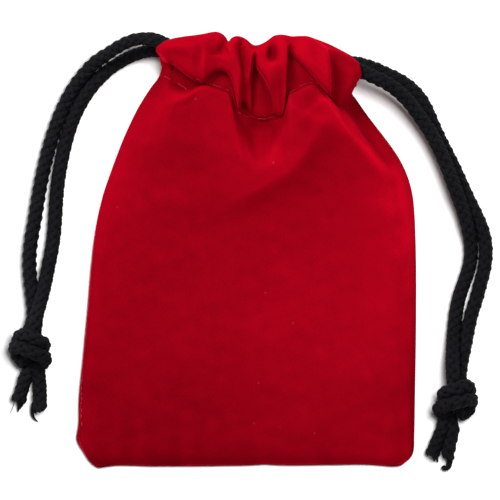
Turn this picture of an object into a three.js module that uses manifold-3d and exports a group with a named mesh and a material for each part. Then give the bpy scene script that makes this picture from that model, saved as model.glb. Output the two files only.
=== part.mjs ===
// A small velvet drawstring pouch with two braided cords, lying on its back, drawn most of the way shut.
// Millimetres, +Z up. The pouch lies on z = 0, its bottom seam towards -Y and its mouth towards +Y.
// The origin is the middle of the pouch's own box, at the surface it lies on.
import * as THREE from "three";
import { mergeVertices } from "three/addons/utils/BufferGeometryUtils.js";
import Module from "manifold-3d";

// ---- driving dimensions ----------------------------------------------------
const UNIT = 0.2262; // millimetres for one unit of the outline tables below
const ORIGIN = [246.82, 250.3]; // the origin in those tables' units (x to the right, v downwards)
const CLOTH = 1.0; // velvet with its pile
const TUNNEL = 4.0; // clear height of the casing tunnel that the cords run in
const CASING = TUNNEL + 2 * CLOTH; // a casing: outer wall, tunnel, turned-in hem
const SEAM_GAP = 0.35; // between the two panels along their seams
const CORD_D = 3.1; // braided cord
const THREAD_D = 0.4; // sewing thread
const ACROSS = 20; // divisions across a panel
const FLOOR = 0.12; // the cords' clearance over the surface they lie on

// The panels' left and right edges: v, then x and y of the point of the edge there.
const LEFT_EDGE = [
  [467, 98, 466.5], [462, 91.5, 461], [455, 86.5, 455], [445, 81.5, 445], [430, 77.5, 430], [400, 80.5, 400],
  [340, 88, 340], [300, 92.5, 300], [260, 97, 260], [220, 103, 220], [190, 111, 188], [170, 119, 165],
  [150, 130, 137], [130, 144.5, 106], [118, 156, 89], [108, 162, 79], [90, 158, 65], [70, 156, 54], [50, 157.5, 45], [33, 163, 38],
];
const RIGHT_EDGE = [
  [467, 405, 466.5], [462, 411, 461.5], [455, 413.5, 455], [445, 414.5, 445], [430, 415, 430], [400, 415.5, 400],
  [340, 415.5, 340], [300, 415.5, 300], [260, 415.3, 260], [220, 414, 220], [190, 410, 188], [170, 402, 168],
  [150, 391, 148], [130, 375, 122], [118, 362, 107], [108, 352, 96], [90, 358, 86], [70, 362, 75], [50, 361.5, 65], [33, 357, 57],
];
// The panels' middle line, and lines a quarter of the way in: v, then how far down the point lies.
const MIDDLE = [[467, 466], [220, 220], [150, 152], [118, 122], [108, 112], [90, 97], [70, 78], [50, 59], [33, 45]];
const LEFT_QUARTER = [[467, 466], [220, 219], [150, 143], [118, 103], [108, 92], [90, 77], [70, 61], [50, 45], [33, 34]];
const RIGHT_QUARTER = [[467, 466], [220, 219], [150, 146], [118, 107], [108, 97], [90, 82], [70, 66], [50, 51], [33, 40.5]];
// The front panel's outer face, at the side seams and at the middle: v, then the height.
const SIDE_TOP = [[467, 2.4], [140, 2.4], [130, 2.8], [124, 3.8], [118, 5.4], [108, 7.0], [102, 8.8], [96, 10.6], [88, 12.3], [75, 12.6], [33, 12.6]];
const MIDDLE_TOP = [
  [467, 3.0], [460, 4.4], [450, 5.8], [435, 6.8], [400, 7.8], [340, 8.6], [280, 9.2], [220, 10.2], [180, 11.6],
  [150, 13.0], [130, 14.0], [118, 14.4], [108, 14.6], [96, 16.6], [86, 17.4], [70, 17.7], [46, 17.7], [33, 17.7],
];
const STITCH_V = 108; // the row of stitches that closes the casing

// ---- helpers ---------------------------------------------------------------
// Smooth curve through a table of [key, value, ...]; column says which value.
function table(rows, key, column = 1) {
  const r = rows[0][0] > rows[rows.length - 1][0] ? [...rows].reverse() : rows;
  const k = Math.min(Math.max(key, r[0][0]), r[r.length - 1][0]);
  let i = 0;
  while (i < r.length - 2 && k > r[i + 1][0]) i++;
  const slope = (j) => {
    const a = Math.max(j - 1, 0), b = Math.min(j + 1, r.length - 1);
    return (r[b][column] - r[a][column]) / (r[b][0] - r[a][0]);
  };
  const h = r[i + 1][0] - r[i][0], u = (k - r[i][0]) / h;
  return (
    r[i][column] * (1 + 2 * u) * (1 - u) ** 2 + h * slope(i) * u * (1 - u) ** 2 +
    r[i + 1][column] * u * u * (3 - 2 * u) + h * slope(i + 1) * u * u * (u - 1)
  );
}
const straight = (rows, key) => {
  const r = rows[0][0] > rows[rows.length - 1][0] ? [...rows].reverse() : rows;
  let i = 0;
  while (i < r.length - 2 && key > r[i + 1][0]) i++;
  const u = Math.min(Math.max((key - r[i][0]) / (r[i + 1][0] - r[i][0]), 0), 1);
  return r[i][1] + u * (r[i + 1][1] - r[i][1]);
};
const mmX = (x) => (x - ORIGIN[0]) * UNIT;
const mmY = (y) => (ORIGIN[1] - y) * UNIT;

// The plan of a panel: t runs from its left edge to its right one, v from the bottom seam up to the mouth.
function plan(t, v) {
  const x = (1 - t) * table(LEFT_EDGE, v, 1) + t * table(RIGHT_EDGE, v, 1);
  const y = table(
    [[0, table(LEFT_EDGE, v, 2)], [0.25, table(LEFT_QUARTER, v)], [0.5, table(MIDDLE, v)], [0.75, table(RIGHT_QUARTER, v)], [1, table(RIGHT_EDGE, v, 2)]],
    t,
  );
  return [mmX(x), mmY(y)];
}
const dome = (t) => 1 - Math.abs(2 * t - 1) ** 3;
const frontTop = (t, v) => straight(SIDE_TOP, v) + (straight(MIDDLE_TOP, v) - straight(SIDE_TOP, v)) * dome(t);
// The back panel lies flat, drawn up a little along its stitches.
const backBottom = (t, v) => (Math.abs(v - STITCH_V) < 22 ? 0.8 * Math.cos(((v - STITCH_V) / 22) * (Math.PI / 2)) ** 2 : 0);

const wasm = await Module();
wasm.setup();
function solid(geometry) {
  const g = (geometry.index ? geometry.toNonIndexed() : geometry).clone();
  for (const name of Object.keys(g.attributes)) if (name !== "position") g.deleteAttribute(name);
  const m = mergeVertices(g, 1e-4);
  return new wasm.Manifold(
    new wasm.Mesh({ numProp: 3, vertProperties: new Float32Array(m.attributes.position.array), triVerts: new Uint32Array(m.index.array) }),
  );
}
function geometryOf(made) {
  const m = made.getMesh();
  const g = new THREE.BufferGeometry();
  g.setAttribute("position", new THREE.BufferAttribute(new Float32Array(m.vertProperties), 3));
  g.setIndex(new THREE.BufferAttribute(new Uint32Array(m.triVerts), 1));
  g.computeVertexNormals();
  return g;
}

// ---- the two panels ---------------------------------------------------------
// A panel's section, from the bottom seam up: one layer of cloth that turns over at the mouth, comes back down
// inside as a hem and is stitched to itself, which leaves the tunnel. (v, depth below the outer face.)
const HALF = CASING / 2;
const outerFace = [467, 460, 450, 435, 400, 340, 280, 220, 180, 150, 130, 124, 118, 108, 102, 96, 88, 75, 60, 46].map((v) => [v, 0]);
const mouthFold = [[39.5, 0.14 * CASING], [35, 0.3 * CASING], [33, HALF], [35, 0.7 * CASING], [39.5, 0.86 * CASING]];
const hemFace = [[46, CASING], [75, CASING], [88, CASING - 0.2], [96, 4.7], [102, 3.5], [108, 2.5], [118, 2 * CLOTH], [118, CLOTH]];
const innerFace = [130, 150, 180, 220, 280, 340, 400, 435, 450, 460, 467].map((v) => [v, CLOTH]);
const tunnel = [
  [105, CLOTH], [96, CLOTH], [88, CLOTH], [75, CLOTH], [60, CLOTH], [46, CLOTH], [40, 1.5], [37.6, HALF], [40, CASING - 1.5],
  [46, CASING - CLOTH], [75, CASING - CLOTH], [87, CASING - 1.25], [94, 3.8], [100, 2.5], [105, 1.35],
];
// The section is drawn bowed, so that no three of its points are in line, and straightened again as it is placed.
const bow = (v) => (v - 20) * (480 - v) * 1e-4;
function panel(place) {
  const bowed = ([v, d]) => new THREE.Vector2(-v, d + bow(v));
  const shape = new THREE.Shape([...outerFace, ...mouthFold, ...hemFace, ...innerFace].map(bowed));
  shape.holes.push(new THREE.Path(tunnel.map(bowed)));
  const g = new THREE.ExtrudeGeometry(shape, { depth: 1, steps: ACROSS, bevelEnabled: false, curveSegments: 1 });
  const p = g.attributes.position;
  for (let i = 0; i < p.count; i++) {
    const v = -p.getX(i), t = p.getZ(i), [x, y] = plan(t, v);
    p.setXYZ(i, x, y, place(t, v, Math.round((p.getY(i) - bow(v)) * 1e4) / 1e4));
  }
  return g;
}
function turned(g) {
  // The same faces the other way round.
  const n = (g.index ? g.toNonIndexed() : g).clone(), p = n.attributes.position;
  for (let i = 0; i < p.count; i += 3) {
    const b = [p.getX(i + 1), p.getY(i + 1), p.getZ(i + 1)], c = [p.getX(i + 2), p.getY(i + 2), p.getZ(i + 2)];
    p.setXYZ(i + 1, ...c);
    p.setXYZ(i + 2, ...b);
  }
  return n;
}
const outward = (g) => (solid(g).volume() < 0 ? turned(g) : g);
const frontBlank = outward(panel((t, v, depth) => frontTop(t, v) - depth));
const backBlank = outward(panel((t, v, depth) => backBottom(t, v) + depth));

// ---- the cords inside the casings --------------------------------------------
// Each cord goes in at one side, along the front casing, turns down through the gap between the hems at the far side
// and comes back along the back casing. The left cord keeps to the lower lane, the right cord to the upper one.
const R = CORD_D / 2;
const frontLane = (t, v) => new THREE.Vector3(...plan(t, v), frontTop(t, v) - CASING / 2);
const backLane = (t, v) => new THREE.Vector3(...plan(t, v), backBottom(t, v) + CASING / 2);
function casingRun(lane, exitT, turnT) {
  const dir = Math.sign(turnT - exitT);
  const ts = [];
  for (let k = 0; k <= 9; k++) ts.push(exitT + ((turnT - exitT) * k) / 9);
  const front = ts.map((t) => frontLane(t, lane(t))), back = ts.map((t) => backLane(t, lane(t))).reverse();
  const a = front[front.length - 1], b = back[0];
  const r = (a.z - b.z) / 2, mid = a.clone().add(b).multiplyScalar(0.5);
  const bend = [];
  for (let k = 1; k < 8; k++) {
    const w = Math.PI / 2 - (Math.PI * k) / 8;
    bend.push(new THREE.Vector3(mid.x + dir * r * Math.cos(w), mid.y, mid.z + r * Math.sin(w)));
  }
  return { points: [...front, ...bend, ...back], mid, r, dir };
}
const leftLane = (t) => 60 + 24 * Math.min(1, t / 0.12);
const rightLane = (t) => 60 - 6 * Math.min(1, (1 - t) / 0.2);
const leftRun = casingRun(leftLane, 0.005, 0.74);
const rightRun = casingRun(rightLane, 0.995, 0.26);
// A slit through both hems where a cord turns.
function slit(run) {
  const g = new THREE.BoxGeometry(run.r + R + 1.2, CORD_D + 1.0, 2 * run.r - 0.6);
  g.translate(run.mid.x + run.dir * ((run.r + R + 1.2) / 2 - 0.4), run.mid.y, run.mid.z);
  return solid(g);
}
const slits = [slit(leftRun), slit(rightRun)];
const cutBy = (blank) => geometryOf(slits.reduce((m, s) => m.subtract(s), solid(blank)));

// ---- tubes --------------------------------------------------------------------
function tube(points, diameter, sides, steps) {
  const curve = new THREE.CatmullRomCurve3(points, false, "centripetal");
  const shape = new THREE.Shape();
  for (let k = 0; k < sides; k++) {
    const a = (2 * Math.PI * (k + 0.5)) / sides, r = diameter / 2;
    k ? shape.lineTo(r * Math.cos(a), r * Math.sin(a)) : shape.moveTo(r * Math.cos(a), r * Math.sin(a));
  }
  shape.closePath();
  return outward(new THREE.ExtrudeGeometry(shape, { steps, extrudePath: curve, bevelEnabled: false, curveSegments: 1 }));
}
const route = (rows) => rows.map(([x, y, z]) => new THREE.Vector3(mmX(x), mmY(y), z));
const LOW = R + FLOOR, HIGH = LOW + CORD_D + 0.25; // a strand on the surface, and one that lies on another strand

// ---- the free strands: x, y in the tables' units, then the height -----------------
const leftFrontExit = leftRun.points[0], leftBackExit = leftRun.points[leftRun.points.length - 1];
const rightFrontExit = rightRun.points[0], rightBackExit = rightRun.points[rightRun.points.length - 1];
// A strand goes on in line with the stretch inside the casing, a little clear of its end.
const EXIT_GAP = 0.5;
function past(p, next) {
  const d = p.clone().sub(next).normalize();
  return [p.clone().addScaledVector(d, EXIT_GAP), p.clone().addScaledVector(d, EXIT_GAP + 1.2)];
}
const fromEnd = (run, k) => run.points[run.points.length - k];
const leftOuter = [
  ...past(leftFrontExit, leftRun.points[1]),
  ...route([
    [148, 38.6, 9.0], [135, 39.8, 8.0], [122, 45.4, 6.6], [108, 54.6, 5.0], [95, 63.2, 3.6], [84, 74.5, 2.5], [75, 86.5, LOW],
    [67.5, 99.5, LOW], [60.5, 115, LOW], [54.2, 132, LOW], [48.6, 150, LOW], [44.2, 168, LOW], [40.4, 186, LOW], [37.2, 204, LOW],
    [34.6, 221, LOW], [31.7, 238, LOW], [29.8, 254, LOW], [29.6, 268, LOW], [30.6, 282, LOW], [32.2, 295, LOW], [33.4, 307, LOW], [33.4, 317, LOW], [33, 323.6, LOW],
  ]),
];
const leftInner = [
  ...past(leftBackExit, fromEnd(leftRun, 2)),
  ...route([
    [144, 53, 2.4], [131, 56.2, LOW], [118.5, 62.6, LOW], [107, 71, LOW], [96.5, 81.2, LOW], [87.5, 92.4, LOW], [80, 104.6, LOW],
    [73.4, 118.5, LOW], [68.2, 133.4, LOW], [64, 149.5, LOW], [60.6, 166, LOW], [58, 183, LOW], [56.4, 200, LOW], [55.4, 217, LOW],
    [54, 235, LOW], [51.4, 252, LOW], [48.4, 268, LOW + 0.3], [45.6, 282, LOW + 0.9], [43, 294, LOW + 1.8], [40.4, 305, HIGH - 0.6], [37.6, 315, HIGH], [35.6, 323.6, HIGH],
  ]),
];
const rightInner = [
  ...past(rightFrontExit, rightRun.points[1]),
  ...route([
    [372, 75.4, 9.2], [384, 81.4, 8.6], [396, 89.4, 7.8], [406, 98.6, 7.0], [415, 109.6, 6.2], [423.6, 122, 5.4], [431.6, 134.6, HIGH], [439.2, 148.6, HIGH], [445.6, 163, HIGH],
    [451.4, 178, HIGH], [457.2, 194, HIGH - 0.2], [462.6, 209, HIGH - 1.0], [467, 224, LOW + 1.6], [470.2, 240, LOW + 0.4], [470.8, 254, LOW], [468.6, 268, LOW], [463.8, 282, LOW],
    [459.2, 296, LOW], [456, 311, LOW], [454, 328, LOW], [452.8, 345, LOW], [452.2, 360, LOW], [452.4, 373.4, LOW],
  ]),
];
const rightOuter = [
  ...past(rightBackExit, fromEnd(rightRun, 2)),
  ...route([
    [373, 67.6, 2.6], [386, 74.4, LOW], [398, 80, LOW], [409.6, 88, LOW], [419.6, 98.6, LOW], [427, 111, LOW], [433, 124.6, LOW], [439.4, 139, LOW], [446.6, 153.6, LOW], [453.6, 168, LOW],
    [460.8, 184, LOW], [468, 199.6, LOW], [475.6, 215, LOW], [481.8, 230, LOW], [485, 243, LOW], [485.6, 256, LOW], [484, 270, LOW], [480.6, 284, LOW],
    [476.6, 299, LOW], [472.4, 314, LOW], [469, 330, LOW], [467, 346, LOW], [466.4, 360, LOW], [466.6, 373.4, LOW],
  ]),
];
// ---- the knots: an overhand knot of both strands, as its outer shape ---------------
function knot(cx, cy, halfX, halfY, height, lean) {
  const g = new THREE.SphereGeometry(1, 14, 10);
  const p = g.attributes.position;
  for (let i = 0; i < p.count; i++) {
    const x = p.getX(i), y = p.getY(i), z = p.getZ(i);
    const around = Math.atan2(y, x);
    const lump = 1 + 0.06 * Math.sqrt(Math.max(0, 1 - z * z)) * Math.cos(3 * around + lean);
    p.setXYZ(i, mmX(cx) + (x * lump * halfX - y * 0.12 * halfY * lean) * 1, mmY(cy) + y * lump * halfY, FLOOR + (height / 2) * (1 + z));
  }
  return outward(g);
}
const LEFT_KNOT = [30, 347.5], RIGHT_KNOT = [455, 399.5];
const leftKnot = knot(...LEFT_KNOT, 4.75, 4.75, 8.4, 0.5);
const rightKnot = knot(...RIGHT_KNOT, 5.1, 5.0, 8.4, -0.5);
const leftTailOuter = route([[24.6, 371, LOW], [22.6, 383, LOW], [20.6, 394, LOW], [17.6, 403.6, LOW]]);
const leftTailInner = route([[39.4, 371.4, LOW], [40, 384, LOW], [39.8, 397, LOW], [38.6, 410, LOW]]);
const rightTailInner = route([[442.6, 424, LOW], [439, 436, LOW], [435.8, 447, LOW], [431.4, 457, LOW]]);
const rightTailOuter = route([[458, 425.4, LOW], [455, 438, LOW], [451.2, 451, LOW], [448.6, 464, LOW]]);

// ---- the stitches that close the casings --------------------------------------------
const stitchRow = (place) => {
  const points = [];
  for (let k = 1; k < ACROSS; k++) points.push(place(k / ACROSS));
  return points;
};
const stitchLift = THREAD_D / 2 + 0.3;
const frontStitches = stitchRow((t) => new THREE.Vector3(...plan(t, STITCH_V), frontTop(t, STITCH_V) + stitchLift));
const backStitches = stitchRow((t) => new THREE.Vector3(...plan(t, STITCH_V), backBottom(t, STITCH_V) - stitchLift));

// ---- the scene graph -------------------------------------------------------------
const velvet = new THREE.MeshStandardMaterial({ name: "velvet", color: 0xa50016, roughness: 0.95, metalness: 0 });
const braid = new THREE.MeshStandardMaterial({ name: "braid", color: 0x17171b, roughness: 0.85, metalness: 0 });
const thread = new THREE.MeshStandardMaterial({ name: "thread", color: 0xd0485a, roughness: 0.7, metalness: 0 });
const pouch = new THREE.Group();
function add(group, name, geometry, material) {
  const mesh = new THREE.Mesh(geometry, material);
  mesh.name = name;
  group.add(mesh);
}
const body = new THREE.Group();
add(body, "front_panel", cutBy(frontBlank), velvet);
add(body, "back_panel", cutBy(backBlank), velvet);
add(body, "front_casing_stitching", tube(frontStitches, THREAD_D, 6, 36), thread);
add(body, "back_casing_stitching", tube(backStitches, THREAD_D, 6, 36), thread);
const leftCord = new THREE.Group();
add(leftCord, "left_cord_in_casing", tube(leftRun.points, CORD_D, 8, 44), braid);
add(leftCord, "left_cord_outer_strand", tube(leftOuter, CORD_D, 8, 30), braid);
add(leftCord, "left_cord_inner_strand", tube(leftInner, CORD_D, 8, 30), braid);
add(leftCord, "left_cord_knot", leftKnot, braid);
add(leftCord, "left_cord_outer_tail", tube(leftTailOuter, CORD_D, 8, 4), braid);
add(leftCord, "left_cord_inner_tail", tube(leftTailInner, CORD_D, 8, 4), braid);
const rightCord = new THREE.Group();
add(rightCord, "right_cord_in_casing", tube(rightRun.points, CORD_D, 8, 44), braid);
add(rightCord, "right_cord_outer_strand", tube(rightOuter, CORD_D, 8, 30), braid);
add(rightCord, "right_cord_inner_strand", tube(rightInner, CORD_D, 8, 30), braid);
add(rightCord, "right_cord_knot", rightKnot, braid);
add(rightCord, "right_cord_outer_tail", tube(rightTailOuter, CORD_D, 8, 4), braid);
add(rightCord, "right_cord_inner_tail", tube(rightTailInner, CORD_D, 8, 4), braid);
pouch.add(body, leftCord, rightCord);

export default pouch;
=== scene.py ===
import bpy, math
import numpy as np
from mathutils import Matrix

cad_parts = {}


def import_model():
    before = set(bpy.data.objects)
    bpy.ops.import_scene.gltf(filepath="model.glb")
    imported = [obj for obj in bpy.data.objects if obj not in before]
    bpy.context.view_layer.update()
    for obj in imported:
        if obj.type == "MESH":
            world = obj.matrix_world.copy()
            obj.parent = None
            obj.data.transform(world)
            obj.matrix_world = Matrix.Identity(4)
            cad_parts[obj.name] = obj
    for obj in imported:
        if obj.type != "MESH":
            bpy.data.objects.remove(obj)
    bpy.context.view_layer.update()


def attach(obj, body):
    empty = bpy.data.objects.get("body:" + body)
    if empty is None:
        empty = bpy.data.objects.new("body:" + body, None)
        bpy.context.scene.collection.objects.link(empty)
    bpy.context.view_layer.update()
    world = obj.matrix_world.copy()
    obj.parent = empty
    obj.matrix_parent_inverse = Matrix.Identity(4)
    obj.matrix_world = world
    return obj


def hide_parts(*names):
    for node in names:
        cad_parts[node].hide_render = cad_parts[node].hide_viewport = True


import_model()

rng = np.random.default_rng(7)

# ---------------------------------------------------------------- the shared plan
# Outlines are written in the plan's own units (x right, y down, 500 across); one unit is 0.2262 mm.
UNIT = 0.2262e-3
OX, OY = 246.82, 250.3
LENS, SENSOR = 420.0, 36.0
CX, CY = 250.0, 250.0
DIST = 500 * UNIT * LENS / SENSOR


def world(p):
    """Plan units and millimetres of height to metres, so that a point seen from straight above falls on its plan place."""
    p = np.asarray(p, float)
    z = p[..., 2] * 1e-3
    k = (DIST - z) / DIST
    x = (CX - OX) * UNIT + (p[..., 0] - CX) * UNIT * k
    y = (OY - CY) * UNIT - (p[..., 1] - CY) * UNIT * k
    return np.stack([x, y, z], -1)


def hermite(xs, ys, q):
    """Smooth curve through the points (xs, ys) at q; ys may have several columns."""
    xs = np.asarray(xs, float); ys = np.asarray(ys, float)
    one = ys.ndim == 1
    if one:
        ys = ys[:, None]
    d = (ys[1:] - ys[:-1]) / (xs[1:] - xs[:-1])[:, None]
    h = (xs[1:] - xs[:-1])[:, None]
    m = np.empty_like(ys)
    m[0], m[-1] = d[0], d[-1]
    m[1:-1] = (d[:-1] * h[1:] + d[1:] * h[:-1]) / (h[1:] + h[:-1])
    q = np.clip(np.asarray(q, float), xs[0], xs[-1])
    i = np.clip(np.searchsorted(xs, q) - 1, 0, len(xs) - 2)
    hh = (xs[i + 1] - xs[i])[:, None]
    u = ((q - xs[i]) / (xs[i + 1] - xs[i]))[:, None]
    r = (ys[i] * (1 + 2 * u) * (1 - u) ** 2 + hh * m[i] * u * (1 - u) ** 2
         + ys[i + 1] * u * u * (3 - 2 * u) + hh * m[i + 1] * u * u * (u - 1))
    return r[:, 0] if one else r


def smoothstep(a, b, x):
    t = np.clip((np.asarray(x, float) - a) / (b - a), 0, 1)
    return t * t * (3 - 2 * t)


def blur(a, n, axis, passes=1):
    """Small triangular blur along one axis that keeps the ends."""
    a = np.moveaxis(a, axis, 0).copy()
    for _ in range(n * passes):
        b = a.copy()
        b[1:-1] = 0.25 * a[:-2] + 0.5 * a[1:-1] + 0.25 * a[2:]
        a = b
    return np.moveaxis(a, 0, axis)


# Smooth seeded noise made of a few sine waves.
def ripple(x, y, scale, seed, n=14):
    g = np.random.default_rng(seed)
    out = np.zeros(np.broadcast(x, y).shape)
    for _ in range(n):
        a = g.uniform(0, 2 * math.pi)
        f = g.uniform(0.5, 1.6) / scale
        out += np.sin(2 * math.pi * f * (x * math.cos(a) + y * math.sin(a)) + g.uniform(0, 6.28))
    return out / math.sqrt(n)


# ---------------------------------------------------------------- outlines
LEFT = np.array([(62, 164.3), (69, 161.8), (76, 158.6), (82, 154.4), (88, 150.3), (103, 140.6), (119, 132), (136.5, 124), (152.6, 117.6), (168, 112),
                 (184, 106.3), (199.5, 101.5), (214, 98.2), (228, 95.6), (253, 92.6), (287, 90), (320, 87), (357, 83.6), (383, 81), (400, 80.4),
                 (415, 80.2), (427, 79.6), (436, 78.6), (445.7, 80.6), (452, 84.4), (459.7, 89.6), (463.5, 93), (466.5, 98)])
RIGHT = np.array([(62, 338), (80, 346), (91.3, 352), (103.6, 360), (116, 369), (124, 375), (140, 387.4), (159.5, 400.5), (179, 409), (198.5, 413.4),
                  (227, 414.8), (270, 415.8), (335, 415.6), (411, 414.4), (440, 413.9), (450, 413.4), (457, 412.4), (461.6, 409.5), (464.5, 405), (466.5, 399)])
BACK_LEFT = np.array([(62, 166), (76, 160.4), (88, 151.3), (103, 141.6), (119, 133), (136.5, 125), (152.6, 118.4), (184, 107), (214, 98.8),
                      (253, 92.9), (320, 86.8), (357, 83.2), (383, 80.6), (396, 79.3), (405, 78.6), (410, 77.4), (416, 75.9), (421.5, 76.9), (426, 78.8),
                      (430, 77.2), (434, 75.9), (439, 76.6), (445.7, 79.9), (452, 84.2), (459.7, 89.2), (464, 93.4), (467.2, 99)])


def xl(y):
    return hermite(LEFT[:, 0], LEFT[:, 1], y)


def xr(y):
    return hermite(RIGHT[:, 0], RIGHT[:, 1], y)


BOTTOM = np.array([(76, 467.2), (98, 467.2), (104, 466.6), (110, 465.6), (150, 465.6), (219, 465.2), (258, 464.2), (265, 463.7), (273, 464.2), (330, 464.3),
                   (372, 464.2), (384, 465.2), (394, 465.8), (405, 464.4), (416, 462)])

# ---------------------------------------------------------------- the front panel's gathers
# Columns across the panel: share of the flat width, then the places of the casing's rows (x, y, height).
U = np.array([0, .05, .11, .17, .22, .262, .295, .325, .35, .375, .40, .425, .45, .475, .497, .515, .535, .555, .575, .592, .61, .63, .65, .675, .697,
              .717, .737, .757, .773, .792, .815, .84, .865, .885, .905, .93, .955, .98, 1.0])
STITCH = np.array([(159.2, 76.2, 3.6), (166, 78, 7.4), (173, 81.4, 8.4), (181, 86, 8.8), (190, 88.5, 9.4), (198, 86, 11.0), (204.5, 84.6, 12.8), (209.5, 84.6, 13),
                   (214.5, 86, 12.9), (219.5, 87.8, 12.9), (224, 89.3, 12.9), (228.4, 91.2, 12.7), (232.4, 97.5, 12.6), (237.6, 111.5, 11.7), (242.5, 115.2, 11.0),
                   (246.5, 117.2, 10.8), (249.5, 118.4, 10.7), (252, 119.2, 10.6), (255, 119.8, 10.4), (260, 120.2, 10.3), (266, 120.2, 10.3), (270.5, 119.6, 10.4),
                   (273.5, 119, 10.8), (276.5, 118.6, 11.2), (279.5, 118, 11.8), (282.6, 116, 12.6), (284.9, 105, 13.3), (287.8, 91.8, 13.5), (294, 89.8, 13.4),
                   (298, 87.6, 13.2), (303, 84.8, 13.2), (308.5, 83, 13.2), (314.5, 83.2, 13.1), (321, 88.5, 12.7), (328, 96, 11.8), (331.5, 100, 10.6), (338.5, 105.6, 9.6),
                   (346, 99.5, 7.4), (352, 93.5, 3.8)])
EDGE = np.array([(163.4, 61.8, 8.4), (167.5, 63, 12.2), (174, 65.5, 13.6), (182, 72, 14.2), (191, 78.8, 14), (199, 83, 13.6), (204, 83.3, 13.5), (210.3, 76.6, 14.8),
                 (216.5, 71.3, 15.6), (222.3, 70.9, 16), (228.4, 74.6, 16.3), (232.4, 81.3, 16.3), (235.4, 94, 15.8), (238.6, 110.6, 14.2), (242.7, 101.5, 13.8),
                 (246, 105.5, 13.2), (248.8, 110.5, 12.4), (251.2, 113.6, 11.6), (254.5, 116, 11.2), (260, 118.2, 10.9), (266, 118.2, 10.9), (270.6, 115.8, 11.1),
                 (273, 114.2, 13.2), (276, 115.6, 13.3), (279.5, 116.2, 13.3), (282.4, 114.4, 13.5), (285, 104.5, 14.8), (287.8, 58, 15.4), (289, 51.5, 14.6),
                 (293.5, 56.5, 15.5), (300, 62.5, 16.2), (307, 69.5, 16.4), (314.6, 78.5, 16), (322.5, 88, 15.2), (329.6, 95.6, 14.2), (331.8, 98.4, 11.4), (338.8, 105.2, 10.4),
                 (347.4, 96.6, 9.2), (357, 83, 7)])
MID = np.array([(156, 51.5, 9.6), (161.5, 53, 14), (170.5, 53, 16), (181, 55, 16.8), (191.5, 58, 17.1), (198.5, 60, 16.9), (203.6, 59.5, 17.7), (210.6, 57.6, 17.2),
                (217, 56.4, 17), (222.5, 56.6, 17.4), (228, 58, 17.9), (232.5, 60.5, 18), (237.2, 65, 18), (240.8, 71, 17.6), (243.8, 77, 16.0),
                (246.6, 78, 15.8), (249.6, 77.5, 15.7), (251.2, 76.5, 15.0), (252.6, 79, 12.9), (257, 82, 12.7), (261, 82, 12.4), (263.6, 80, 12.2),
                (266.2, 79, 16.0), (270, 72, 17.4), (275, 65.4, 18.3), (281.8, 68, 17.6), (287.2, 66, 17.3), (288.4, 52.5, 15.8), (290, 48.5, 15),
                (294.5, 50, 16.4), (301, 54, 17.6), (309, 59, 18), (317, 65, 18), (324, 69, 17.8), (330.2, 74, 17.2), (332.0, 76, 12.6), (342, 79, 11.5),
                (352.5, 78.4, 10.8), (361.5, 76, 8.2)])
UPPER = np.array([(155.8, 49, 10.6), (162, 46.5, 14.0), (171.5, 44.5, 16.4), (182.5, 44.5, 17.2), (193.5, 44, 17.4), (201.5, 43.5, 17.0), (206.6, 46.5, 16.8), (212.5, 53, 16.2),
                  (217.6, 52, 15.4), (221.4, 49.6, 14.7), (224.4, 45.4, 14.8), (227.6, 47, 17.1), (233, 46.5, 17.1), (237, 49, 16.2), (240.4, 54, 14.1),
                  (245, 54, 14.8), (250, 54, 15.3), (252.6, 53, 15.4), (254.2, 52.6, 15.3), (255.2, 52.4, 15.2), (256, 52.6, 15.2), (256.8, 53, 15.3),
                  (258.4, 53.4, 15.5), (266.5, 54, 15.8), (272.8, 56.2, 13.4), (279, 52, 16.7), (286.2, 47, 16.9), (288.4, 44, 16), (292, 41.5, 15.2),
                  (296.5, 42.5, 15.8), (302.5, 44, 16.6), (309.5, 46, 16.8), (317, 49.5, 16.6), (322.6, 51.5, 16.6), (328.2, 56, 16.4), (330.6, 58, 12.7), (342, 62, 11.6),
                  (352.5, 65.4, 10.8), (360.5, 68, 9.6)])
TOP = np.array([(157.5, 46, 9.6), (164, 41.5, 11.2), (173, 38.3, 12), (184, 36.3, 12.2), (195, 35, 12.4), (204, 33.6, 12.5), (210, 32.4, 12.4), (216, 32, 12.2),
                (221.5, 33.6, 11.8), (225.6, 37, 11.4), (228.4, 41.2, 11.6), (231, 38.2, 12.2), (235, 36.2, 12.6), (239, 36.2, 12.4), (243, 37.6, 11.8),
                (246.5, 39.5, 12), (249.5, 42, 12), (252, 44, 11.8), (254.2, 45, 11.5), (256.5, 45.2, 11.4), (259, 44.6, 11.6), (261.5, 43.6, 11.9),
                (264.5, 42.2, 12.1), (268.6, 39.6, 12), (273.4, 36.2, 11.8), (277.5, 35, 12.4), (282.5, 34.6, 12.5), (287.5, 35.3, 12.1), (292, 36.2, 12),
                (297, 35.9, 12.2), (302, 35.8, 12.5), (307.5, 36.6, 12.6), (314, 38.8, 12.6), (320.5, 42.6, 12.3), (325.6, 46.4, 11.9), (330, 48.2, 11.2), (340.5, 51.4, 10.6),
                (351.5, 56.8, 9.9), (358.5, 62, 9)])
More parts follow.
